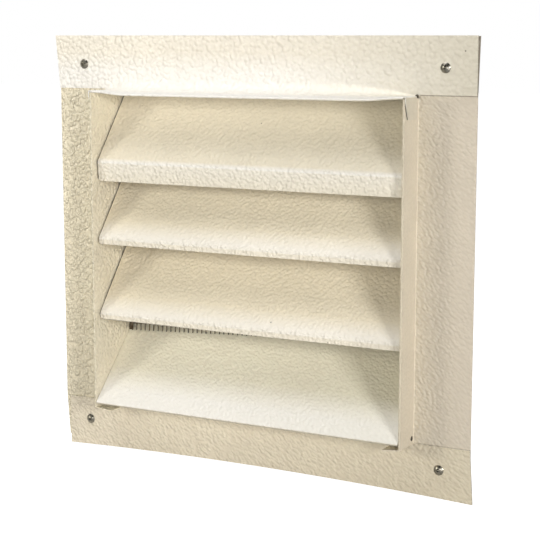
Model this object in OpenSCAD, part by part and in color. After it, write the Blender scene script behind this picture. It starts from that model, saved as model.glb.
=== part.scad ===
// Gable louvred vent: a frame of four folded sheets (head, sill and two jambs) lapped and
// riveted at its corners, three fixed louvre blades, and an insect screen behind them.
// Millimetres. The origin is the centre of the raised box, in the plane of the wall face.
// +X runs to the right, +Y into the wall, +Z up. The front of the vent faces -Y.

/* [Sheet] */
// Thickness of the painted sheet
sheet_t = 0.6; // [0.4:0.1:1]
// Inside radius of an ordinary fold
fold_r = 0.5; // [0.3:0.1:1.2]
// Gap left between the two layers of a closed hem
hem_gap = 0.2; // [0.1:0.05:0.5]
// Gap between two sheets that lap
lap_gap = 0.05; // [0.02:0.01:0.2]
// Gap between parts that fit inside one another
fit_gap = 0.3; // [0.15:0.05:0.6]

/* [Raised box] */
// Clear width between the inner faces of the jambs
opening_w = 215.6; // [180:0.2:300]
// Height of the box over its top and bottom walls
box_h = 203.8; // [185:0.2:300]
// How far the box stands in front of the wall face
box_depth = 20.3; // [14:0.1:40]

/* [Wall flanges] */
// Width of a jamb flange beyond the box
jamb_flange_w = 36.3; // [28:0.1:60]
// Height of the head flange above the box
head_flange_h = 34.4; // [28:0.1:60]
// Height of the sill flange below the box
sill_flange_h = 34.6; // [28:0.1:60]
// How far the head flange passes the jamb at its upper left corner
head_left_over = 3; // [0:0.1:6]
// How far the head flange stops short of the jamb at its right end
head_right_short = 0.1; // [0:0.1:3]
// How far the sill flange stops short of the jamb at its left end
sill_left_short = 3.2; // [0:0.1:8]
// How far the sill flange passes the jamb at its lower right corner
sill_right_over = 2; // [0:0.1:6]
// Rise of the sill's lower edge at its middle
sill_bow = 3.2; // [0:0.1:6]
// How far a jamb flange stops short of the sill's lower edge
jamb_foot_short = 5.8; // [2:0.1:12]
// How far the left jamb flange tapers in at its foot
jamb_foot_taper = 2; // [0:0.1:6]
// How far the right jamb flange flares out at its top
jamb_top_flare = 1; // [0:0.1:4]
// How far the jamb walls run below the bottom wall
jamb_foot_drop = 2.2; // [0.2:0.1:4]

/* [Head] */
// Radius of the soft bend from the head flange into the top wall
head_bend_r = 10; // [2:0.5:14]
// Length over which the soft bend tightens towards each end
head_bend_ramp = 38; // [15:1:70]
// Length of the tab that folds down over each jamb
head_tab_l = 13; // [8:0.5:20]
// How far the front edge of that tab slants back
head_tab_slant = 4; // [0:0.1:6]
// How far the foot of that tab stands off the jamb
head_tab_splay = 0.2; // [0:0.1:2]
// Length of the relief cut between that tab and the head flange
head_relief = 3.4; // [1.6:0.1:5]
// Height of the lip at the back of the soffit
head_lip = 8; // [4:0.5:14]

/* [Sill] */
// Slope of the sill above the horizontal, in degrees
sill_slope = 46.3; // [38:0.1:50]
// How far the sill runs on behind the screen
sill_overrun = 4; // [1:0.1:8]
// Length of the jamb tab that folds in under the sill
sill_tab_l = 12; // [6:0.5:20]
// How far the free end of that tab sags
sill_tab_sag = 1.2; // [0:0.1:3]
// Diameter of the relief hole through the foot of each jamb's walls
relief_d = 2.6; // [1:0.1:3.2]
// Distance of that hole in front of the sill flange
relief_front = 2.6; // [1.8:0.1:4]
// Height of that hole above the jamb's foot
relief_rise = 3.4; // [1.6:0.1:6]

/* [Louvres] */
// Depth of the first fold below the top wall
louvre_drop = 45.3; // [38:0.1:56]
// Height of the last fold above the bottom wall
louvre_clear = 59.9; // [50:0.1:80]
// Slope of a blade above the horizontal, in degrees
louvre_slope = 52.5; // [48:0.5:60]
// Distance from the front of the box back to the blade lips
louvre_setback = 4.9; // [2:0.1:8]
// Inside radius of the fold between blade and lip
louvre_fold_r = 3; // [0.5:0.1:3]
// Length of the lip on the first blade
long_lip = 12.6; // [8:0.1:20]
// Length of the lip on the other blades
short_lip = 4; // [3:0.1:10]
// Lean of a lip back from the vertical, in degrees
lip_lean = 5; // [0:0.5:12]
// Gap between the top of the first blade and the head
louvre_head_gap = 1.8; // [0.8:0.1:4]
// Gap between a blade's end and the jamb, ahead of its end tab
louvre_end_gap = 0.8; // [0.3:0.1:1.5]
// Size of the corner cut off each end of a lip
lip_chamfer = 1.6; // [0.5:0.1:3]
// Width of the end tabs that fold down along the jambs
louvre_tab_w = 8; // [5:0.5:12]
// Distance along the blade from its fold to the end tabs
louvre_tab_start = 16; // [12:0.5:30]

/* [Screen] */
// Distance from the rear edges of the blades to the screen
screen_gap = 2; // [1:0.1:6]
// Thickness of the screen over its crossed wires
screen_t = 0.8; // [0.5:0.1:1.5]
// Spacing of the screen wires
mesh_pitch = 3.4; // [3.2:0.1:6]
// Thickness of a screen wire
wire_d = 0.6; // [0.4:0.05:1]
// Height of the closed margin along the screen's top
screen_margin = 5; // [3:0.5:8]
// How far the screen's lower edge rises from left to right
screen_skew = 11; // [0:0.5:16]
// Width of the lip turned in behind the screen at the back of each jamb
rear_lip_w = 13.5; // [8:0.5:18]

/* [Rivets] */
// Diameter of a rivet's domed head
rivet_head_d = 6.3; // [5:0.1:8]
// Height of the domed head
rivet_head_h = 1.3; // [0.8:0.1:2]
// Diameter of a rivet's shank
rivet_shank_d = 3.2; // [2.4:0.1:4]
// Diameter of the set tail behind the flange
rivet_tail_d = 4.8; // [4:0.1:6]
// Length of the set tail
rivet_tail_l = 2.2; // [1:0.1:3]
// Diameter of the stem hole in the head
rivet_stem_d = 1.8; // [1.2:0.1:2]
// Distance of a rivet in from the jamb flange's edge
rivet_inset_x = 19.6; // [12:0.1:24]
// Distance of a rivet in from the head's or sill's edge
rivet_inset_z = 18.2; // [12:0.1:24]

/* [Hidden] */

cream = [0.93, 0.9, 0.83];
shade_cream = [0.88, 0.85, 0.77];
bright_metal = [0.72, 0.72, 0.73];
wire_grey = [0.45, 0.44, 0.42];

half_t = sheet_t / 2;
// Radius of an ordinary fold at mid thickness, and of each half of a closed hem
mid_fold_r = fold_r + half_t;
hem_r = (sheet_t + hem_gap) / 2;
bend_steps = 6;
overlap = 3;

// Jamb planes, each measured at mid thickness out from the middle
inner_x = opening_w / 2 + half_t;
outer_x = inner_x + 2 * hem_r;
flange_x = outer_x + half_t + jamb_flange_w;
// Planes of the box
front_y = -box_depth + half_t;
jamb_flange_y = -half_t;
lap_y = -(sheet_t + lap_gap + half_t);
top_z = box_h / 2 - half_t;
soffit_z = top_z - 2 * hem_r;
bottom_z = -box_h / 2 + half_t;
head_z = box_h / 2 + head_flange_h;
foot_z = -box_h / 2 - sill_flange_h;
// The jambs stand between the head's soffit and the level of the bottom wall
jamb_top_z = soffit_z - half_t - lap_gap;
jamb_foot_z = bottom_z - half_t - jamb_foot_drop;
flange_edge_z = top_z + mid_fold_r + lap_gap;
sill_edge_z = min(bottom_z - mid_fold_r, jamb_foot_z - lap_gap);

// Louvre blades, each a piece of its own
louvre_count = 3;
lip_y = -box_depth + louvre_setback + half_t;
louvre_rise = louvre_drop - (box_h / 2 - soffit_z) - half_t - louvre_head_gap;
louvre_run = louvre_rise / tan(louvre_slope);
louvre_l = louvre_rise / sin(louvre_slope);
louvre_pitch = (box_h - louvre_drop - louvre_clear) / (louvre_count - 1);
louvre_rear_y = lip_y + louvre_run;
tab_face_x = opening_w / 2 - fit_gap / 2;

// Screen, and the lip behind it at the back of each jamb
screen_y = louvre_rear_y + screen_gap;
rear_y = screen_y + screen_t + lap_gap + half_t;
lip_inner_x = inner_x - half_t - rear_lip_w;
screen_w = opening_w - 4 * fit_gap;
screen_top_z = soffit_z - half_t - 2 * fit_gap;

// Sill: the fold at its front edge is placed so that its foremost point is the box's front
sill_turn = 180 - sill_slope;
sill_corner_y = front_y - mid_fold_r * tan(sill_turn / 2) + mid_fold_r;
sill_end_x = opening_w / 2 - fit_gap;
sill_rear_y = screen_y + screen_t + sill_overrun;
function sill_mid_z(y) = bottom_z + (y - sill_corner_y) * tan(sill_slope);
function sill_top_z(y) = sill_mid_z(y) + half_t / cos(sill_slope);
screen_foot_z = sill_top_z(screen_y + screen_t) + fit_gap / 2;
// The jambs' rear lips are cut away below this level, to let the sill run on
rear_lip_foot_z = sill_top_z(sill_rear_y) + fit_gap;

// Rivets
rivet_x = flange_x - rivet_inset_x;
rivet_hole_d = rivet_shank_d + 2 * lap_gap;
rivet_spots = [
    for (side = [-1, 1]) [side * rivet_x, head_z - rivet_inset_z],
    for (side = [-1, 1]) [side * rivet_x, foot_z + rivet_inset_z]
];

// A folded sheet seen edge on. The path runs along its mid plane and each inner corner is
// rounded to the radius given for it. Each sample is a point and the sheet's normal there.
function heading(a, b) = atan2(b[1] - a[1], b[0] - a[0]);
function left_of(angle) = [-sin(angle), cos(angle)];
function wrap(angle) = angle > 180 ? angle - 360 : angle < -180 ? angle + 360 : angle;
function corner(before, at, after, r) =
    let (
        start = heading(before, at),
        turn = wrap(heading(at, after) - start),
        way = sign(turn),
        back = r * tan(abs(turn) / 2),
        centre = at - back * [cos(start), sin(start)] + way * r * left_of(start)
    )
    [
        for (k = [0 : bend_steps])
            let (normal = left_of(start + turn * k / bend_steps))
            [centre - way * r * normal, normal]
    ];
function samples(path, radii) =
    let (last = len(path) - 1)
    [
        [path[0], left_of(heading(path[0], path[1]))],
        for (i = [1 : 1 : last - 1])
            each corner(path[i - 1], path[i], path[i + 1], radii[i - 1]),
        [path[last], left_of(heading(path[last - 1], path[last]))]
    ];
function outline(path, radii) =
    let (s = samples(path, radii), last = len(s) - 1)
    concat(
        [for (q = s) q[0] + half_t * q[1]],
        [for (i = [last : -1 : 0]) s[i][0] - half_t * s[i][1]]
    );

// Folded sheet drawn in the XY plane and raised from z0 to z1
module fold_along_z(path, radii, z0, z1) {
    translate([0, 0, z0])
        linear_extrude(height = z1 - z0)
            polygon(outline(path, radii));
}
// Folded sheet drawn as [y, z] and run from x0 to x1
module fold_along_x(path, radii, x0, x1) {
    translate([x0, 0, 0])
        rotate([90, 0, 90])
            linear_extrude(height = x1 - x0)
                polygon(outline(path, radii));
}
// Folded sheet drawn as [x, z] and run from y0 to y1
module fold_along_y(path, radii, y0, y1) {
    translate([0, y1, 0])
        rotate([90, 0, 0])
            linear_extrude(height = y1 - y0)
                polygon(outline(path, radii));
}
// Flat sheet in the plane of the wall, its mid plane at y, from an outline of [x, z] points
module flat_sheet(points, y) {
    translate([0, y + half_t, 0])
        rotate([90, 0, 0])
            linear_extrude(height = sheet_t)
                polygon(points);
}
module rivet_holes() {
    for (spot = rivet_spots)
        translate([spot[0], 0, spot[1]])
            rotate([90, 0, 0])
                cylinder(h = 4 * overlap, d = rivet_hole_d, center = true, $fn = 32);
}

// Soft bend of the head: its radius tightens in steps to an ordinary fold towards both ends
soft_end_x = inner_x;
soft_steps = 7;
soft_top_z = top_z + head_bend_r + sheet_t;
soft_front_y = lap_y - head_bend_r - sheet_t;
function ease(u) = u * u * (3 - 2 * u);
function soft_r(k) = mid_fold_r + (head_bend_r - mid_fold_r) * ease((k + 0.5) / soft_steps);
module soft_length(r, x0, x1) {
    fold_along_x(
        [[lap_y, soft_top_z], [lap_y, top_z], [soft_front_y, top_z]],
        [r], x0, x1
    );
}
module soft_bend() {
    step = head_bend_ramp / soft_steps;
    middle_x = soft_end_x - head_bend_ramp;
    soft_length(head_bend_r, -middle_x, middle_x);
    for (k = [0 : soft_steps - 1]) {
        soft_length(soft_r(k), soft_end_x - (k + 1) * step, soft_end_x - k * step);
        soft_length(soft_r(k), -soft_end_x + k * step, -soft_end_x + (k + 1) * step);
    }
}

// Tab at one end of the head's top wall, folded down over the jamb
module head_tab() {
    tab_x = outer_x + sheet_t + 2 * lap_gap;
    tab_foot_z = top_z - head_tab_l;
    difference() {
        fold_along_y(
            [[soft_end_x, top_z], [tab_x, top_z], [tab_x + head_tab_splay, tab_foot_z]],
            [mid_fold_r],
            front_y, lap_y - head_relief
        );
        translate([tab_x - sheet_t, 0, 0])
            rotate([90, 0, 90])
                linear_extrude(height = 2 * sheet_t + head_tab_splay)
                    polygon([
                        [front_y - overlap, top_z - mid_fold_r],
                        [front_y, top_z - mid_fold_r],
                        [front_y + head_tab_slant, tab_foot_z],
                        [front_y + head_tab_slant, tab_foot_z - overlap],
                        [front_y - overlap, tab_foot_z - overlap]
                    ]);
    }
}

module head() color(cream) {
    difference() {
        flat_sheet([
            [-flange_x - head_left_over, head_z],
            [flange_x - head_right_short, head_z],
            [flange_x - head_right_short, flange_edge_z],
            [soft_end_x, flange_edge_z],
            [soft_end_x, soft_top_z],
            [-soft_end_x, soft_top_z],
            [-soft_end_x, flange_edge_z],
            [-flange_x, flange_edge_z]
        ], lap_y);
        rivet_holes();
    }
    soft_bend();
    fold_along_x(
        [[soft_front_y, top_z], [front_y, top_z], [front_y, soffit_z], [rear_y - mid_fold_r, soffit_z]],
        [hem_r, hem_r],
        -soft_end_x, soft_end_x
    );
    fold_along_x(
        [[rear_y - overlap, soffit_z], [rear_y, soffit_z], [rear_y, soffit_z - head_lip]],
        [mid_fold_r],
        -lip_inner_x + fit_gap, lip_inner_x - fit_gap
    );
    head_tab();
    mirror([1, 0, 0]) head_tab();
}

module sill() color(cream) {
    bow_steps = 12;
    left_x = -flange_x + sill_left_short;
    right_x = flange_x + sill_right_over;
    difference() {
        flat_sheet([
            [left_x, sill_edge_z],
            for (k = [0 : bow_steps])
                let (u = k / bow_steps)
                [left_x + (right_x - left_x) * u, foot_z + 4 * sill_bow * u * (1 - u)],
            [flange_x, sill_edge_z]
        ], lap_y);
        rivet_holes();
    }
    fold_along_x(
        [
            [lap_y, sill_edge_z - overlap],
            [lap_y, bottom_z],
            [sill_corner_y, bottom_z],
            [sill_rear_y, sill_mid_z(sill_rear_y)]
        ],
        [mid_fold_r, mid_fold_r],
        -sill_end_x, sill_end_x
    );
}

// One jamb, drawn on the right. The flare widens the top of its flange, the taper narrows
// its foot.
module jamb(top_flare, foot_taper) {
    bend_x = outer_x + mid_fold_r;
    flange_foot_z = foot_z + jamb_foot_short;
    difference() {
        union() {
            flat_sheet([
                [bend_x, head_z - fit_gap],
                [flange_x + top_flare, head_z - fit_gap],
                [flange_x, flange_edge_z],
                [flange_x, sill_edge_z],
                [flange_x - foot_taper, flange_foot_z],
                [bend_x, flange_foot_z]
            ], jamb_flange_y);
            fold_along_z(
                [
                    [bend_x + overlap, jamb_flange_y],
                    [outer_x, jamb_flange_y],
                    [outer_x, front_y],
                    [inner_x, front_y],
                    [inner_x, rear_y],
                    [lip_inner_x, rear_y]
                ],
                [mid_fold_r, hem_r, hem_r, mid_fold_r],
                jamb_foot_z, jamb_top_z
            );
            // tab folded in under the sill
            fold_along_y(
                [
                    [outer_x, jamb_foot_z + overlap],
                    [outer_x, jamb_foot_z - half_t - lap_gap],
                    [outer_x - sill_tab_l, jamb_foot_z - half_t - lap_gap - sill_tab_sag]
                ],
                [mid_fold_r],
                front_y + mid_fold_r, lap_y - 2 * mid_fold_r
            );
        }
        rivet_holes();
        translate([(inner_x + outer_x) / 2, lap_y - relief_front, jamb_foot_z + relief_rise])
            rotate([0, 90, 0])
                cylinder(h = outer_x - inner_x + 2 * sheet_t, d = relief_d, center = true, $fn = 24);
        translate([lip_inner_x - overlap, rear_y - mid_fold_r - half_t, jamb_foot_z - overlap])
            cube([rear_lip_w + overlap, 2 * overlap, rear_lip_foot_z - jamb_foot_z + overlap]);
    }
}
module left_jamb() color(cream) mirror([1, 0, 0]) jamb(0, jamb_foot_taper);
module right_jamb() color(cream) jamb(jamb_top_flare, 0);

// One louvre blade. The lip and fold run its whole width; behind them the blade is a shallow
// channel whose sides are the end tabs, cut off square just ahead of the screen.
module louvre(index, lip) {
    fold_z = box_h / 2 - louvre_drop - index * louvre_pitch;
    blade_x = opening_w / 2 - louvre_end_gap;
    tab_x = tab_face_x - half_t;
    up = [cos(louvre_slope), sin(louvre_slope)];
    translate([0, lip_y, fold_z]) {
        difference() {
            fold_along_x(
                [
                    [lip * sin(lip_lean), -lip * cos(lip_lean)],
                    [0, 0],
                    louvre_tab_start * up
                ],
                [louvre_fold_r + half_t],
                -blade_x, blade_x
            );
            for (side = [-1, 1])
                translate([side * blade_x, 0, -lip - half_t])
                    rotate([0, 45, 0])
                        cube([sqrt(2) * lip_chamfer, 4 * overlap, sqrt(2) * lip_chamfer], center = true);
        }
        difference() {
            rotate([louvre_slope, 0, 0])
                translate([0, louvre_tab_start, 0])
                    rotate([90, 0, 180])
                        linear_extrude(height = louvre_l - louvre_tab_start)
                            polygon(outline(
                                [
                                    [-tab_x, -louvre_tab_w], [-tab_x, 0],
                                    [tab_x, 0], [tab_x, -louvre_tab_w]
                                ],
                                [mid_fold_r, mid_fold_r]
                            ));
            translate([-opening_w / 2, louvre_run + screen_gap - fit_gap, 0])
                cube([opening_w, 2 * louvre_tab_w, 2 * louvre_rise]);
        }
    }
}
module louvre_1() color(cream) louvre(0, long_lip);
module louvre_2() color(shade_cream) louvre(1, short_lip);
module louvre_3() color(cream) louvre(2, short_lip);

// Screen: upright wires at their true spacing, joined by a cross band and a closed margin
module insect_screen() color(wire_grey) {
    columns = floor((2 * lip_inner_x + mesh_pitch) / mesh_pitch);
    first_x = -columns * mesh_pitch / 2;
    foot = function (x) screen_foot_z + screen_skew * (x / screen_w + 0.5);
    band_z = (screen_top_z + screen_foot_z) / 2;
    slot_w = mesh_pitch - wire_d;
    translate([0, screen_y + screen_t, 0])
        rotate([90, 0, 0])
            linear_extrude(height = screen_t)
                difference() {
                    polygon([
                        [-screen_w / 2, foot(-screen_w / 2)], [screen_w / 2, foot(screen_w / 2)],
                        [screen_w / 2, screen_top_z], [-screen_w / 2, screen_top_z]
                    ]);
                    for (k = [0 : columns - 1])
                        let (
                            x = first_x + k * mesh_pitch + wire_d / 2,
                            low = foot(x) + 2 * wire_d
                        ) {
                            translate([x, low])
                                square([slot_w, band_z - wire_d / 2 - low]);
                            translate([x, band_z + wire_d / 2])
                                square([slot_w, screen_top_z - screen_margin - band_z]);
                        }
                }
}

// Blind rivet seen from the side, turned about its own axis
module rivet() {
    grip = 2 * sheet_t + lap_gap;
    head_r = rivet_head_d / 2;
    ball_r = (head_r * head_r + rivet_head_h * rivet_head_h) / (2 * rivet_head_h);
    stem_r = rivet_stem_d / 2;
    rim_z = sqrt(ball_r * ball_r - stem_r * stem_r) - ball_r + rivet_head_h;
    half_angle = asin(head_r / ball_r);
    inner_angle = asin(stem_r / ball_r);
    dome = [
        for (k = [0 : 8])
            let (a = half_angle + (inner_angle - half_angle) * k / 8)
            [ball_r * sin(a), ball_r * cos(a) - ball_r + rivet_head_h]
    ];
    rotate_extrude($fn = 48)
        polygon(concat(
            [[0, -grip - rivet_tail_l]],
            [[rivet_tail_d * 0.3, -grip - rivet_tail_l]],
            [[rivet_tail_d / 2, -grip - rivet_tail_l * 0.6]],
            [[rivet_tail_d / 2, -grip - lap_gap]],
            [[rivet_shank_d / 2, -grip - lap_gap]],
            [[rivet_shank_d / 2, lap_gap]],
            [[head_r, lap_gap]],
            [for (p = dome) [p[0], p[1] + lap_gap]],
            [[stem_r, rim_z * 0.4]],
            [[0, rim_z * 0.4 + stem_r * 0.3]]
        ));
}
module corner_rivets() color(bright_metal) {
    for (spot = rivet_spots)
        translate([spot[0], lap_y - half_t, spot[1]])
            rotate([90, 0, 0]) rivet();
}

head();
sill();
left_jamb();
right_jamb();
louvre_1();
louvre_2();
louvre_3();
insect_screen();
corner_rivets();
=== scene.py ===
import math
import random

import bpy
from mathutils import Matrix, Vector


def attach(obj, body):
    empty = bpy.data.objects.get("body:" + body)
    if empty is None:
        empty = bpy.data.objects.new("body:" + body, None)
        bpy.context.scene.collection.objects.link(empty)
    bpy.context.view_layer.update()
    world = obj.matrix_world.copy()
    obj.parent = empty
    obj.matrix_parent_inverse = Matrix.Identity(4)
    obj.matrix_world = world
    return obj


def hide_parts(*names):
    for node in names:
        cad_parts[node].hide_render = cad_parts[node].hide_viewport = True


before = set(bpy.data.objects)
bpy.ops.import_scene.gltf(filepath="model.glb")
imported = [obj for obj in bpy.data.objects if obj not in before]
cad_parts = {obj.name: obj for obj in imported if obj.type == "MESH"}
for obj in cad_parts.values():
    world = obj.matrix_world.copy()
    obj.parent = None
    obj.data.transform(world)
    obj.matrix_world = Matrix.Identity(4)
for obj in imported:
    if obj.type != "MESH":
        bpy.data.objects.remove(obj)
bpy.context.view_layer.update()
random.seed(11)

# Camera: the photo's own viewing angle, with the origin at the middle of the raised box
camera_data = bpy.data.cameras.new("camera")
camera_data.lens = 100.2
camera_data.sensor_width = 36.0
camera = bpy.data.objects.new("camera", camera_data)
camera.location = (0.4563, -0.8032, 0.1361)
camera.rotation_euler = (math.radians(81.14), 0.0, math.radians(29.0))
bpy.context.scene.collection.objects.link(camera)
bpy.context.scene.camera = camera


# Sizes of the folded sheets in mm, as in the part's source
MM = 0.001
SHEET_T = 0.6
HALF_T = SHEET_T / 2
LAP_GAP = 0.05
FOLD_R = 0.8
HEM_R = 0.4
INNER_X = 108.1
OUTER_X = INNER_X + 2 * HEM_R
FLANGE_X = 145.5
FRONT_Y = -20.0
LAP_Y = -(SHEET_T + LAP_GAP + HALF_T)
TOP_Z = 101.6
SOFFIT_Z = TOP_Z - 2 * HEM_R
SILL_EDGE_Z = -104.15
LOWEST_EDGE_Z = -46.0
HEAD_Z = 136.3
BEND_R = 10.0
SHORT_RAMP = 16.0
LONG_RAMP = 60.0
HEM_SAG = 1.6
HEAD_LEFT_OVER = 3.0
HEAD_RIGHT_SHORT = 0.1
TAB_L = 13.0
TAB_SLANT = 4.0
TAB_SPLAY = 0.2
HEAD_RELIEF = 3.4
NOTCH_FOOT_Z = 100.6
REAR_Y = 20.354
HEAD_LIP = 8.0
HEM_INNER_X = 94.3
SCREEN_Y = 19.604
SCREEN_HALF_W = 107.2
SCREEN_TOP_Z = 99.9
SCREEN_FOOT_Z = -58.0
SCREEN_SKEW = 11.0
MESH_PITCH = 3.4
WIRE_R = 0.35
WIRE_WAVE = 0.13
# The cut ends of the upright wires are bent forward, down the slope of the sill
WIRE_END = Vector((0.6, -1.0, -1.0))
# The mesh is folded back on itself at its left edge
FOLDED_WIRES_X = (-107.0, -106.4, -105.8, -105.2, -104.6)


# ---------------------------------------------------------------- shader helpers
def new_material(name):
    """An empty material with its node tree, its shader and a function that adds linked nodes."""
    material = bpy.data.materials.new(name)
    material.use_nodes = True
    tree = material.node_tree
    shader = tree.nodes["Principled BSDF"]

    def add(kind, inputs=None, **settings):
        node = tree.nodes.new(kind)
        for key, value in settings.items():
            setattr(node, key, value)
        for key, value in (inputs or {}).items():
            if isinstance(value, bpy.types.NodeSocket):
                tree.links.new(value, node.inputs[key])
            else:
                node.inputs[key].default_value = value
        return node

    return material, tree, shader, add


def noise(add, where, scale, detail=3.0, rough=0.5):
    return add("ShaderNodeTexNoise",
               {"Vector": where, "Scale": scale, "Detail": detail, "Roughness": rough}).outputs["Fac"]


def spread(add, value, low, high, to_low=0.0, to_high=1.0):
    return add("ShaderNodeMapRange", {"Value": value, "From Min": low, "From Max": high,
                                      "To Min": to_low, "To Max": to_high}).outputs["Result"]


def mix(add, amount, a, b, blend="MIX"):
    node = add("ShaderNodeMix", data_type="RGBA", blend_type=blend)
    tree = node.id_data
    for socket, value in ((node.inputs[0], amount), (node.inputs[6], a), (node.inputs[7], b)):
        if isinstance(value, bpy.types.NodeSocket):
            tree.links.new(value, socket)
        else:
            socket.default_value = value
    return node.outputs[2]


def arithmetic(add, kind, a, b):
    node = add("ShaderNodeMath", operation=kind)
    for socket, value in ((node.inputs[0], a), (node.inputs[1], b)):
        if isinstance(value, bpy.types.NodeSocket):
            node.id_data.links.new(value, socket)
        else:
            socket.default_value = value
    return node.outputs[0]


def beyond(add, value, limit, width=0.15):
    """0 below limit and 1 above it, with a soft step of the given width. Lengths are in mm."""
    return spread(add, value, (limit - width) * MM, (limit + width) * MM)


TONE_SPREAD = 0.07
WORM_PULL = 0.0007
RIPPLE_TURN = math.radians(40.0)
PLAIN = (1.0, 1.0, 1.0)
# Pale tone for the painted highlight on the box's fronts and the head's bend
PAINTED_HIGHLIGHT_TONE = (0.955, 0.935, 0.905, 1.0)
# Dark tone for dirt specks, bare cut edges and painted shade in gaps, laps and holes
DIRT_AND_SHADE = (0.10, 0.085, 0.06, 1.0)


def stucco(add, where, grain, ripple):
    """Height of the embossed pattern: rounded pebbles, partly run together, with narrow valleys.
    Below a ripple of 1 they are drawn out into slanting ripples."""
    if ripple < 1.0:
        where = add("ShaderNodeMapping", {"Vector": where, "Rotation": (0.0, RIPPLE_TURN, 0.0),
                                          "Scale": (1.0 / ripple, 1.0, 1.0)},
                    vector_type="TEXTURE").outputs[0]
    wander = add("ShaderNodeTexNoise", {"Vector": where, "Scale": 260.0 * grain, "Detail": 0.0})
    centred = add("ShaderNodeVectorMath", {0: wander.outputs["Color"], 1: (0.5, 0.5, 0.5)},
                  operation="SUBTRACT")
    pulled = add("ShaderNodeVectorMath", {0: centred.outputs[0], "Scale": WORM_PULL / grain},
                 operation="SCALE")
    bent = add("ShaderNodeVectorMath", {0: where, 1: pulled.outputs[0]}, operation="ADD").outputs[0]
    cells = add("ShaderNodeTexVoronoi", {"Vector": bent, "Scale": 400.0 * grain, "Smoothness": 0.5},
                feature="SMOOTH_F1").outputs["Distance"]
    domes = spread(add, arithmetic(add, "MULTIPLY", cells, cells), 0.0, 0.45, 1.0, 0.0)
    return arithmetic(add, "ADD", arithmetic(add, "MULTIPLY", domes, 0.85),
                      arithmetic(add, "MULTIPLY", noise(add, bent, 330.0 * grain, 0.0), 0.45))


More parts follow.
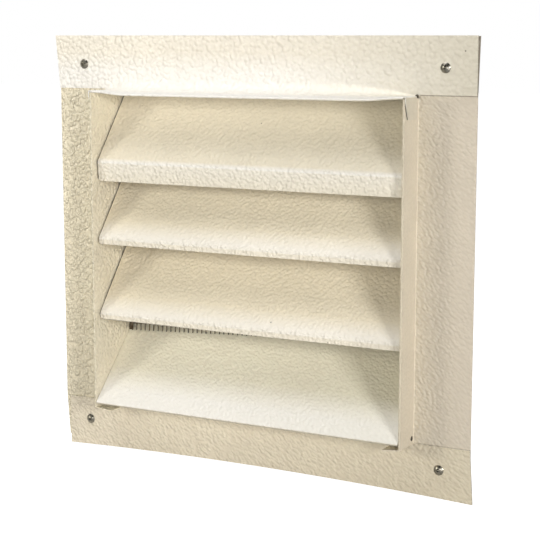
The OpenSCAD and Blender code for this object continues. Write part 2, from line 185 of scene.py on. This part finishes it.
def painted_sheet(name, base, relief_depth, grain, edges_and_shade=None, out_tone=PLAIN, side_tone=PLAIN,
                  hem_tone=PLAIN, front_highlight=(-12.0, -4.0, 0.5), slope_relief=1.0, fade=(60.0, 145.0, PLAIN),
                  fade_share=(1.0, 1.0), ripple=1.0, bend_highlight=None):
    """Cream paint on stucco-embossed sheet: a pebbled relief, fainter on the walls that face
    sideways and slope_relief times as deep on those that face up, uneven toning with painted shade
    in the valleys of the relief, a painted highlight towards the front of the box, which fades
    between the two depths given in front_highlight, a painted highlight that fades between the two
    heights given in bend_highlight and out across the fade, if any, tones of painted light and shade
    for the faces that look straight out and to the sides and for the foremost hems, painted shade as
    a fade to another tone between the two x given in fade, of which faces that look out and up have
    the shares given in fade_share, bare cut edges and lines of painted shade where
    edges_and_shade(add, x, y, z, sideways) puts them, and dirt specks and painted shade spots."""
    material, tree, shader, add = new_material(name)
    where = add("ShaderNodeTexCoord").outputs["Object"]
    broad = noise(add, where, 11.0, 3.0)
    cloudy = noise(add, where, 60.0, 3.0)
    pebble = stucco(add, where, grain, ripple)
    # Uneven tone, with the pebble height painted in too: painted shade in the valleys of the relief
    tone_and_valley_shade = arithmetic(add, "ADD",
                       arithmetic(add, "MULTIPLY", spread(add, broad, 0.35, 0.65), 0.35),
                       arithmetic(add, "MULTIPLY", spread(add, cloudy, 0.3, 0.7), 0.25))
    tone_and_valley_shade = arithmetic(add, "ADD", tone_and_valley_shade, arithmetic(add, "MULTIPLY", pebble, 0.4))
    place = add("ShaderNodeSeparateXYZ", {0: where})
    facing = add("ShaderNodeSeparateXYZ", {0: add("ShaderNodeNewGeometry").outputs["Normal"]})
    sideways = arithmetic(add, "ABSOLUTE", facing.outputs["X"], 0.0)
    dark = tuple(v * (1.0 - TONE_SPREAD) for v in base)
    light = tuple(min(1.0, v * (1.0 + TONE_SPREAD)) for v in base)
    colour = mix(add, tone_and_valley_shade, (*dark, 1.0), (*light, 1.0))
    # Painted light and shade: tones of their own for faces that look straight out, to the sides, and for the
    # foremost hems
    colour = mix(add, spread(add, facing.outputs["Y"], -0.98, -0.9, 1.0, 0.0), colour,
                 (*out_tone, 1.0), "MULTIPLY")
    colour = mix(add, spread(add, sideways, 0.8, 0.95), colour, (*side_tone, 1.0), "MULTIPLY")
    colour = mix(add, spread(add, place.outputs["Y"], -19.9 * MM, -19.5 * MM, 1.0, 0.0), colour,
                 (*hem_tone, 1.0), "MULTIPLY")
    # Painted highlight: towards the front of the box and, if given, low on the head's bend
    front, back, strength = front_highlight
    painted_highlight = arithmetic(add, "MULTIPLY",
                        spread(add, place.outputs["Y"], front * MM, back * MM, strength, 0.0),
                        arithmetic(add, "MULTIPLY", spread(add, facing.outputs["Z"], -0.3, 0.1),
                                   spread(add, sideways, 0.6, 0.8, 1.0, 0.0)))
    fade_from, fade_to, faded = fade
    if bend_highlight:
        low, high, bend_highlight_strength = bend_highlight
        bend_highlight_amount = arithmetic(add, "MULTIPLY",
                          spread(add, place.outputs["Z"], low * MM, high * MM, bend_highlight_strength, 0.0),
                          spread(add, place.outputs["X"], fade_from * MM, fade_to * MM, 1.0, 0.0))
        painted_highlight = arithmetic(add, "MAXIMUM", painted_highlight, bend_highlight_amount)
    colour = mix(add, painted_highlight, colour, PAINTED_HIGHLIGHT_TONE)
    # Painted shade: a fade to a darker tone across x, shared out by how far the face looks up
    fading = spread(add, place.outputs["X"], fade_from * MM, fade_to * MM)
    fading = arithmetic(add, "MULTIPLY", fading, spread(add, facing.outputs["Z"], 0.2, 0.5, *fade_share))
    colour = mix(add, fading, colour, (*faded, 1.0), "MULTIPLY")
    # Bare cut edges, and lines of painted shade in gaps and laps
    if edges_and_shade:
        amount = edges_and_shade(add, place.outputs["X"], place.outputs["Y"], place.outputs["Z"], sideways)
        colour = mix(add, amount, colour, DIRT_AND_SHADE)
    # Dirt specks, and spots of painted shade in the relief hole and cut
    for spot, size, strength in SPECKS_AND_SHADE_SPOTS:
        away = add("ShaderNodeVectorMath", {0: where, 1: tuple(v * MM for v in spot)}, operation="DISTANCE")
        colour = mix(add, spread(add, away.outputs["Value"], size * MM, 1.3 * size * MM, strength, 0.0),
                     colour, DIRT_AND_SHADE)
    tree.links.new(colour, shader.inputs["Base Color"])
    rough = spread(add, noise(add, where, 120.0, 3.0), 0.3, 0.7, 0.3, 0.42)
    tree.links.new(rough, shader.inputs["Roughness"])
    relief = arithmetic(add, "MULTIPLY", pebble, spread(add, sideways, 0.6, 0.8, 1.0, 0.32))
    relief = arithmetic(add, "MULTIPLY", relief, spread(add, fading, 0.0, 1.0, 1.0, 0.7))
    relief = arithmetic(add, "MULTIPLY", relief,
                        spread(add, facing.outputs["Z"], 0.35, 0.6, 1.0, slope_relief))
    bump = add("ShaderNodeBump", {"Height": relief, "Distance": relief_depth, "Strength": 1.0})
    tree.links.new(bump.outputs[0], shader.inputs["Normal"])
    return material


def metal(name, light, dark, rough=0.35):
    material, tree, shader, add = new_material(name)
    where = add("ShaderNodeTexCoord").outputs["Object"]
    mottled = spread(add, noise(add, where, 700.0, 4.0), 0.35, 0.65)
    tree.links.new(mix(add, mottled, (*dark, 1.0), (*light, 1.0)), shader.inputs["Base Color"])
    tree.links.new(spread(add, noise(add, where, 1500.0, 2.0), 0.3, 0.7, rough - 0.08, rough + 0.1),
                   shader.inputs["Roughness"])
    shader.inputs["Metallic"].default_value = 1.0
    bump = add("ShaderNodeBump", {"Height": mottled, "Distance": 0.0002, "Strength": 0.3})
    tree.links.new(bump.outputs[0], shader.inputs["Normal"])
    return material


# Specks of dirt: place in mm, radius in mm and strength. The last three are painted shade:
# they darken the relief hole at the foot of the right jamb and the relief cut at its top.
SPECKS_AND_SHADE_SPOTS = (
    ((137.8, -1.3, 127.6), 0.45, 0.7),
    ((84.4, -15.3, 50.0), 0.4, 0.7),
    ((84.4, -15.0, 45.9), 0.4, 0.7),
    ((18.3, -11.9, -37.3), 0.4, 0.7),
    ((59.0, -15.4, -45.6), 0.4, 0.7),
    ((2.5, 4.7, 82.9), 0.4, 0.7),
    ((107.6, -3.2, -100.7), 1.75, 1.0),
    ((109.4, -3.2, -100.7), 1.35, 1.0),
    ((108.6, -2.0, 101.6), 1.2, 1.0),
)


def lap_shade(head_line, sill_line, tab_line, foot_shade_strength):
    """Thin dark lines of painted shade on a jamb, of the given strengths, along the edges of the head
    and sill flanges that lap it, and in front of the slanting edge of the head's end tab. Towards the
    foot of its flange the jamb is darker, painted shade up to the strength foot_shade_strength."""
    def amount(add, x, y, z, sideways):
        outside = beyond(add, arithmetic(add, "ABSOLUTE", x, 0.0), OUTER_X + 1.5)
        under_head = arithmetic(add, "MULTIPLY", beyond(add, z, TOP_Z + FOLD_R - 0.55), head_line)
        over_sill = arithmetic(add, "SUBTRACT", beyond(add, z, SILL_EDGE_Z - 0.1),
                               beyond(add, z, SILL_EDGE_Z + 0.5))
        over_sill = arithmetic(add, "MULTIPLY", over_sill, sill_line)
        lines = arithmetic(add, "MAXIMUM", under_head, over_sill)
        # Painted shade, deepening towards the foot of the flange
        foot_shade = spread(add, z, -100.0 * MM, -30.0 * MM, foot_shade_strength, 0.0)
        laps = arithmetic(add, "MULTIPLY", arithmetic(add, "MAXIMUM", lines, foot_shade), outside)
        if tab_line == 0.0:
            return laps
        top, foot = TOP_Z - FOLD_R - 2.0, TOP_Z - TAB_L
        edge_y = spread(add, z, foot * MM, top * MM, (FRONT_Y + TAB_SLANT) * MM, FRONT_Y * MM)
        ahead = arithmetic(add, "SUBTRACT", y, edge_y)
        before = arithmetic(add, "SUBTRACT", beyond(add, ahead, -0.8, 0.1), beyond(add, ahead, 0.75, 0.1))
        along = arithmetic(add, "MULTIPLY", spread(add, sideways, 0.8, 0.95, 0.0, tab_line),
                           beyond(add, z, foot + 0.2))
        return arithmetic(add, "MAXIMUM", laps, arithmetic(add, "MULTIPLY", before, along))
    return amount


def end_gap_shade(add, x, y, z, sideways):
    """A thin dark line of painted shade down the ends of a blade, in its gap to the jamb."""
    return arithmetic(add, "MULTIPLY", beyond(add, arithmetic(add, "ABSOLUTE", x, 0.0), 106.6), 0.95)


def lowest_blade_shade(add, x, y, z, sideways):
    """The same, and a thin dark line of painted shade along the left of the lip's lower edge."""
    low = arithmetic(add, "SUBTRACT", 1.0, beyond(add, z, LOWEST_EDGE_Z + 0.35, 0.2))
    low = arithmetic(add, "MULTIPLY", low, spread(add, x, -60.0 * MM, -10.0 * MM, 0.75, 0.0))
    low = arithmetic(add, "MULTIPLY", low, beyond(add, x, -104.0))
    return arithmetic(add, "MAXIMUM", end_gap_shade(add, x, y, z, sideways), low)


def cut_edges(strength):
    """The bare cut at the right end of the head or sill."""
    def amount(add, x, y, z, sideways):
        return arithmetic(add, "MULTIPLY", beyond(add, x, FLANGE_X - 4.0),
                          spread(add, sideways, 0.9, 0.98, 0.0, strength))
    return amount


def sill_cut_and_shade(add, x, y, z, sideways):
    """The same at the sill's right end, and a thin line of painted shade under its front fold."""
    bare = cut_edges(0.8)(add, x, y, z, sideways)
    under = arithmetic(add, "SUBTRACT", 1.0, beyond(add, z, 0.4 - TOP_Z, 0.2))
    under = arithmetic(add, "MULTIPLY", under, spread(add, y, -18.5 * MM, -16.5 * MM, 0.5, 0.0))
    return arithmetic(add, "MAXIMUM", bare, under)


# Painted shade on the foremost hems of the jambs
HEM_SHADE = (0.84, 0.83, 0.80)
# Painted shade of the right jamb over the right ends of the blades
BLADE_END_SHADE = (0.81, 0.81, 0.81)
# In these paints the tones for faces, the highlights and the fades are painted light and shade
head_paint = painted_sheet("head_paint", (0.94, 0.88, 0.745), 0.00075, 0.95, cut_edges(0.6),
                           out_tone=(0.95, 0.945, 0.97), side_tone=(0.90, 0.86, 0.81),
                           front_highlight=(-12.0, -3.0, 0.95), fade=(10.0, 140.0, (0.72, 0.72, 0.69)),
                           fade_share=(1.0, 0.2), slope_relief=0.6, bend_highlight=(113.0, 126.0, 0.75))
sill_paint = painted_sheet("sill_paint", (0.97, 0.90, 0.74), 0.0007, 1.45, sill_cut_and_shade,
                           out_tone=(0.79, 0.745, 0.715), side_tone=(0.81, 0.81, 0.81),
                           front_highlight=(-13.0, 0.0, 0.8), slope_relief=0.43,
                           fade=(-40.0, 130.0, (0.82, 0.82, 0.79)), ripple=0.7)
first_blade_paint = painted_sheet("first_blade_paint", (0.86, 0.79, 0.64), 0.0008, 1.2, end_gap_shade,
                                  front_highlight=(-15.2, -13.8, 0.75), slope_relief=0.48,
                                  fade=(-90.0, 105.0, (0.81, 0.81, 0.80)), fade_share=(0.5, 1.0))
blade_paint = painted_sheet("blade_paint", (0.87, 0.785, 0.61), 0.0008, 1.3, end_gap_shade,
                            front_highlight=(-14.0, -7.0, 0.6), slope_relief=0.4, fade=(60.0, 105.0, BLADE_END_SHADE))
lowest_blade_paint = painted_sheet("lowest_blade_paint", (0.87, 0.785, 0.61), 0.0008, 1.3,
                                   lowest_blade_shade, front_highlight=(-14.0, -7.0, 0.6), slope_relief=0.4,
                                   fade=(60.0, 105.0, BLADE_END_SHADE))
left_paint = painted_sheet("left_jamb_paint", (0.96, 0.885, 0.72), 0.0016, 1.1,
                           lap_shade(0.12, 0.45, 0.0, 0.15), out_tone=(1.04, 1.01, 0.96),
                           side_tone=(0.86, 0.84, 0.81), hem_tone=HEM_SHADE, front_highlight=(-19.0, -16.0, 0.0))
right_paint = painted_sheet("right_jamb_paint", (0.80, 0.715, 0.57), 0.0005, 1.45,
                            lap_shade(0.6, 0.35, 0.9, 0.0), out_tone=(0.845, 0.855, 0.87),
                            side_tone=(0.90, 0.90, 0.90), hem_tone=HEM_SHADE, front_highlight=(-19.0, -16.0, 0.0),
                            fade=(112.0, 138.0, (0.905, 0.895, 0.915)), ripple=0.7)
rivet_metal = metal("rivet_metal", (0.37, 0.35, 0.30), (0.20, 0.185, 0.15), 0.3)
wire_metal = metal("wire_metal", (0.24, 0.195, 0.14), (0.12, 0.095, 0.065), 0.5)

# ---------------------------------------------------------------- the head, with a smooth bend
def bent_sheet(path, radii, steps=10):
    """The outline of a folded sheet seen edge on, its mid plane along path, its corners rounded."""
    samples = []

    def heading(a, b):
        return (b - a).normalized()

    def left(v):
        return Vector((-v.y, v.x))

    points = [Vector(p) for p in path]
    samples.append((points[0], left(heading(points[0], points[1]))))
    for before, at, after, r in zip(points, points[1:], points[2:], radii):
        h0, h1 = heading(before, at), heading(at, after)
        turn = math.atan2(h0.cross(h1), h0.dot(h1))
        way = 1 if turn > 0 else -1
        centre = at - h0 * (r * math.tan(abs(turn) / 2)) + left(h0) * (way * r)
        for k in range(steps + 1):
            a = turn * k / steps
            normal = left(Vector((h0.x * math.cos(a) - h0.y * math.sin(a),
                                  h0.x * math.sin(a) + h0.y * math.cos(a))))
            samples.append((centre - normal * (way * r), normal))
    samples.append((points[-1], left(heading(points[-2], points[-1]))))
    return [p + n * HALF_T for p, n in samples] + [p - n * HALF_T for p, n in reversed(samples)]


def loft(rings, verts, faces):
    """Adds a closed tube through rings of the same length, with its two ends capped."""
    base, n = len(verts), len(rings[0])
    for ring in rings:
        verts.extend(ring)
    for k in range(len(rings) - 1):
        for i in range(n):
            a, b = base + k * n + i, base + k * n + (i + 1) % n
            faces.append((a, b, b + n, a + n))
    faces.append(tuple(base + i for i in reversed(range(n))))
    faces.append(tuple(base + (len(rings) - 1) * n + i for i in range(n)))


def make_object(name, verts, faces, material, smooth_angle=35.0):
    mesh = bpy.data.meshes.new(name)
    mesh.from_pydata([Vector(v) * MM for v in verts], [], faces)
    mesh.validate()
    mesh.shade_smooth()
    mesh.set_sharp_from_angle(angle=math.radians(smooth_angle))
    mesh.materials.append(material)
    thing = bpy.data.objects.new(name, mesh)
    bpy.context.scene.collection.objects.link(thing)
    return thing


def ease(u):
    u = min(1.0, max(0.0, u))
    return u * u * (3 - 2 * u)


def bend_radius(x):
    left = ease((x + INNER_X) / SHORT_RAMP)
    right = ease(((INNER_X - x) / LONG_RAMP) ** 0.6)
    return FOLD_R + (BEND_R - FOLD_R) * left * right


def hem_drop(x):
    return HEM_SAG * ease((INNER_X - abs(x)) / 26.0)


def smooth_head():
    verts, faces = [], []
    rings = []
    stations = 90
    for k in range(stations + 1):
        x = -INNER_X + 2 * INNER_X * k / stations
        section = bent_sheet(
            [(LAP_Y, HEAD_Z), (LAP_Y, TOP_Z), (FRONT_Y, TOP_Z), (FRONT_Y, SOFFIT_Z), (REAR_Y - FOLD_R, SOFFIT_Z)],
            [bend_radius(x), HEM_R, HEM_R])
        drop = hem_drop(x)
        rings.append([(x, p.x, p.y - drop * ease((LAP_Y - p.x) / 18.0)) for p in section])
    loft(rings, verts, faces)
    lip_x = HEM_INNER_X - 0.3
    lip = bent_sheet([(REAR_Y - 3, SOFFIT_Z), (REAR_Y, SOFFIT_Z), (REAR_Y, SOFFIT_Z - HEAD_LIP)], [FOLD_R])
    loft([[(x, p.x, p.y) for p in lip] for x in (-lip_x, lip_x)], verts, faces)
    edge_z = TOP_Z + FOLD_R + LAP_GAP
    for side, far in ((-1, FLANGE_X), (1, FLANGE_X - HEAD_RIGHT_SHORT)):
        over = HEAD_LEFT_OVER if side < 0 else 0.0
        plate = [(INNER_X, edge_z), (far, edge_z), (far + over, HEAD_Z), (INNER_X, HEAD_Z)]
        plate = [(side * x, z) for x, z in plate]
        if side < 0:
            plate.reverse()
        loft([[(x, y, z) for x, z in plate] for y in (LAP_Y + HALF_T, LAP_Y - HALF_T)], verts, faces)
        # What the relief cut leaves of the flange, in front of the jamb's top corner; a spot of painted shade
        # darkens it
        stub = [(side * x, z) for x, z in ((INNER_X - 0.2, NOTCH_FOOT_Z), (OUTER_X + 0.7, NOTCH_FOOT_Z),
                                           (OUTER_X + 0.7, edge_z), (INNER_X - 0.2, edge_z))]
        if side < 0:
            stub.reverse()
        loft([[(x, y, z) for x, z in stub] for y in (LAP_Y + HALF_T, LAP_Y - HALF_T)], verts, faces)
        tab_x = OUTER_X + SHEET_T + 2 * LAP_GAP
        tab_rings = []
        y0, y1 = FRONT_Y, LAP_Y - HEAD_RELIEF
        for y in (y0, y0 + TAB_SLANT, y1):
            foot = TOP_Z - TAB_L if y > y0 else TOP_Z - FOLD_R - 2.0
            foot_x = tab_x + TAB_SPLAY * (TOP_Z - foot) / TAB_L
            section = bent_sheet([(INNER_X, TOP_Z), (tab_x, TOP_Z), (foot_x, foot)], [FOLD_R])
            tab_rings.append([(side * p.x, y, p.y) for p in section])
        if side < 0:
            tab_rings = [list(reversed(ring)) for ring in tab_rings]
        loft(list(reversed(tab_rings)), verts, faces)
    head = make_object("head_sheet", verts, faces, head_paint)
    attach(head, "root")
    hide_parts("head")
    return head


smooth_head()


# ---------------------------------------------------------------- the woven screen
def wire(path, verts, faces, sides=5):
    """A thin tube along a path that bends only a little."""
    rings = []
    along = (path[-1] - path[0]).normalized()
    across = along.cross(Vector((0.0, 1.0, 0.0))).normalized()
    for p in path:
        rings.append([p + (across * math.cos(a) + Vector((0.0, math.sin(a), 0.0))) * WIRE_R
                      for a in (2 * math.pi * k / sides for k in range(sides))])
    loft(rings, verts, faces)


def screen_foot(x):
    return SCREEN_FOOT_Z + SCREEN_SKEW * (x / (2 * SCREEN_HALF_W) + 0.5)


def woven_screen():
    verts, faces = [], []
    per_cell = 3
    step = MESH_PITCH / per_cell
    columns = int(2 * (SCREEN_HALF_W - 1) / MESH_PITCH)
    first_x = -columns * MESH_PITCH / 2
    for c in range(columns + 1):
        x = first_x + c * MESH_PITCH
        start = screen_foot(x)
        count = int((SCREEN_TOP_Z - start) / step)
        wire([Vector((x, SCREEN_Y, start)) + WIRE_END] +
             [Vector((x, SCREEN_Y + WIRE_WAVE * math.cos(math.pi * (k / per_cell + c)), start + k * step))
              for k in range(count + 1)], verts, faces)
    rows = int((SCREEN_TOP_Z - SCREEN_FOOT_Z) / MESH_PITCH)
    for r in range(rows + 1):
        path = []
        for k in range(int(2 * SCREEN_HALF_W / step) + 1):
            x = -SCREEN_HALF_W + k * step
            z = screen_foot(x) + (r + 1) * MESH_PITCH
            if z < SCREEN_TOP_Z:
                phase = (x - first_x) / MESH_PITCH + r
                path.append(Vector((x, SCREEN_Y - WIRE_WAVE * math.cos(math.pi * phase), z)))
        if len(path) > 2:
            wire(path, verts, faces)
    for x in FOLDED_WIRES_X:
        start = screen_foot(x)
        count = int((SCREEN_TOP_Z - start) / step)
        layer_y = SCREEN_Y - 2 * WIRE_R
        wire([Vector((x, layer_y, start + 0.5)) + WIRE_END] +
             [Vector((x, layer_y - WIRE_WAVE * math.cos(math.pi * k / per_cell), start + k * step))
              for k in range(1, count + 1)], verts, faces)
    screen = make_object("woven_screen", verts, faces, wire_metal, 60.0)
    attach(screen, "root")
    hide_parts("insect_screen")


woven_screen()


for node_name, material in (
    ("sill", sill_paint), ("left_jamb", left_paint), ("right_jamb", right_paint),
    ("louvre_1", first_blade_paint), ("louvre_2", blade_paint), ("louvre_3", lowest_blade_paint),
    ("corner_rivets", rivet_metal),
):
    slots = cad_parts[node_name].data.materials
    slots.clear()
    slots.append(material)


# ---------------------------------------------------------------- stage and light
def plane(name, size, location, rotation=(0.0, 0.0, 0.0)):
    half = size / 2
    mesh = bpy.data.meshes.new(name)
    mesh.from_pydata([(-half, -half, 0), (half, -half, 0), (half, half, 0), (-half, half, 0)], [], [(0, 1, 2, 3)])
    thing = bpy.data.objects.new(name, mesh)
    thing.location = location
    thing.rotation_euler = rotation
    bpy.context.scene.collection.objects.link(thing)
    return thing


def pale_surface():
    material, tree, shader, add = new_material("pale_floor")
    where = add("ShaderNodeTexCoord").outputs["Object"]
    tone = mix(add, noise(add, where, 4.0), (0.86, 0.86, 0.86, 1.0), (0.9, 0.9, 0.9, 1.0))
    tree.links.new(tone, shader.inputs["Base Color"])
    shader.inputs["Roughness"].default_value = 0.9
    shader.inputs["Emission Color"].default_value = (1.0, 1.0, 1.0, 1.0)
    seen = add("ShaderNodeLightPath").outputs["Is Camera Ray"]
    tree.links.new(seen, shader.inputs["Emission Strength"])
    return material


floor = plane("floor", 12.0, (0.0, 0.0, -0.1372))
floor.data.materials.append(pale_surface())


def area_light(name, location, target, size, power, colour=(1.0, 1.0, 1.0)):
    data = bpy.data.lights.new(name, "AREA")
    data.shape = "SQUARE"
    data.size = size
    data.energy = power
    data.color = colour
    lamp = bpy.data.objects.new(name, data)
    lamp.location = location
    aim = Vector(target) - Vector(location)
    lamp.rotation_euler = aim.to_track_quat("-Z", "Y").to_euler()
    bpy.context.scene.collection.objects.link(lamp)
    return lamp


area_light("right", (1.412, -0.917, 0.237), (0.0, 0.0, 0.0), 0.32, 14.5, (1.0, 0.985, 0.965))
area_light("left", (-1.184, -1.184, 0.295), (0.0, 0.0, 0.0), 0.4, 8.3, (1.0, 0.965, 0.85))
area_light("front", (0.579, -1.591, 0.148), (0.0, 0.0, 0.0), 0.5, 5.0, (1.0, 0.98, 0.94))
area_light("above", (-0.2, -0.18, 0.66), (0.0, 0.0, 0.0), 0.35, 1.6)
area_light("top", (0.0, -0.226, 1.28), (0.0, 0.0, 0.0), 0.4, 1.7)
world = bpy.data.worlds.new("studio")
world.use_nodes = True
studio = world.node_tree
seen = studio.nodes.new("ShaderNodeLightPath").outputs["Is Camera Ray"]
level = studio.nodes.new("ShaderNodeMapRange")
level.inputs["To Min"].default_value = 0.055
level.inputs["To Max"].default_value = 1.0
studio.links.new(seen, level.inputs["Value"])
studio.links.new(level.outputs["Result"], studio.nodes["Background"].inputs["Strength"])
studio.nodes["Background"].inputs["Color"].default_value = (1.0, 1.0, 1.0, 1.0)
bpy.context.scene.world = world
bpy.context.scene.view_settings.view_transform = "Standard"
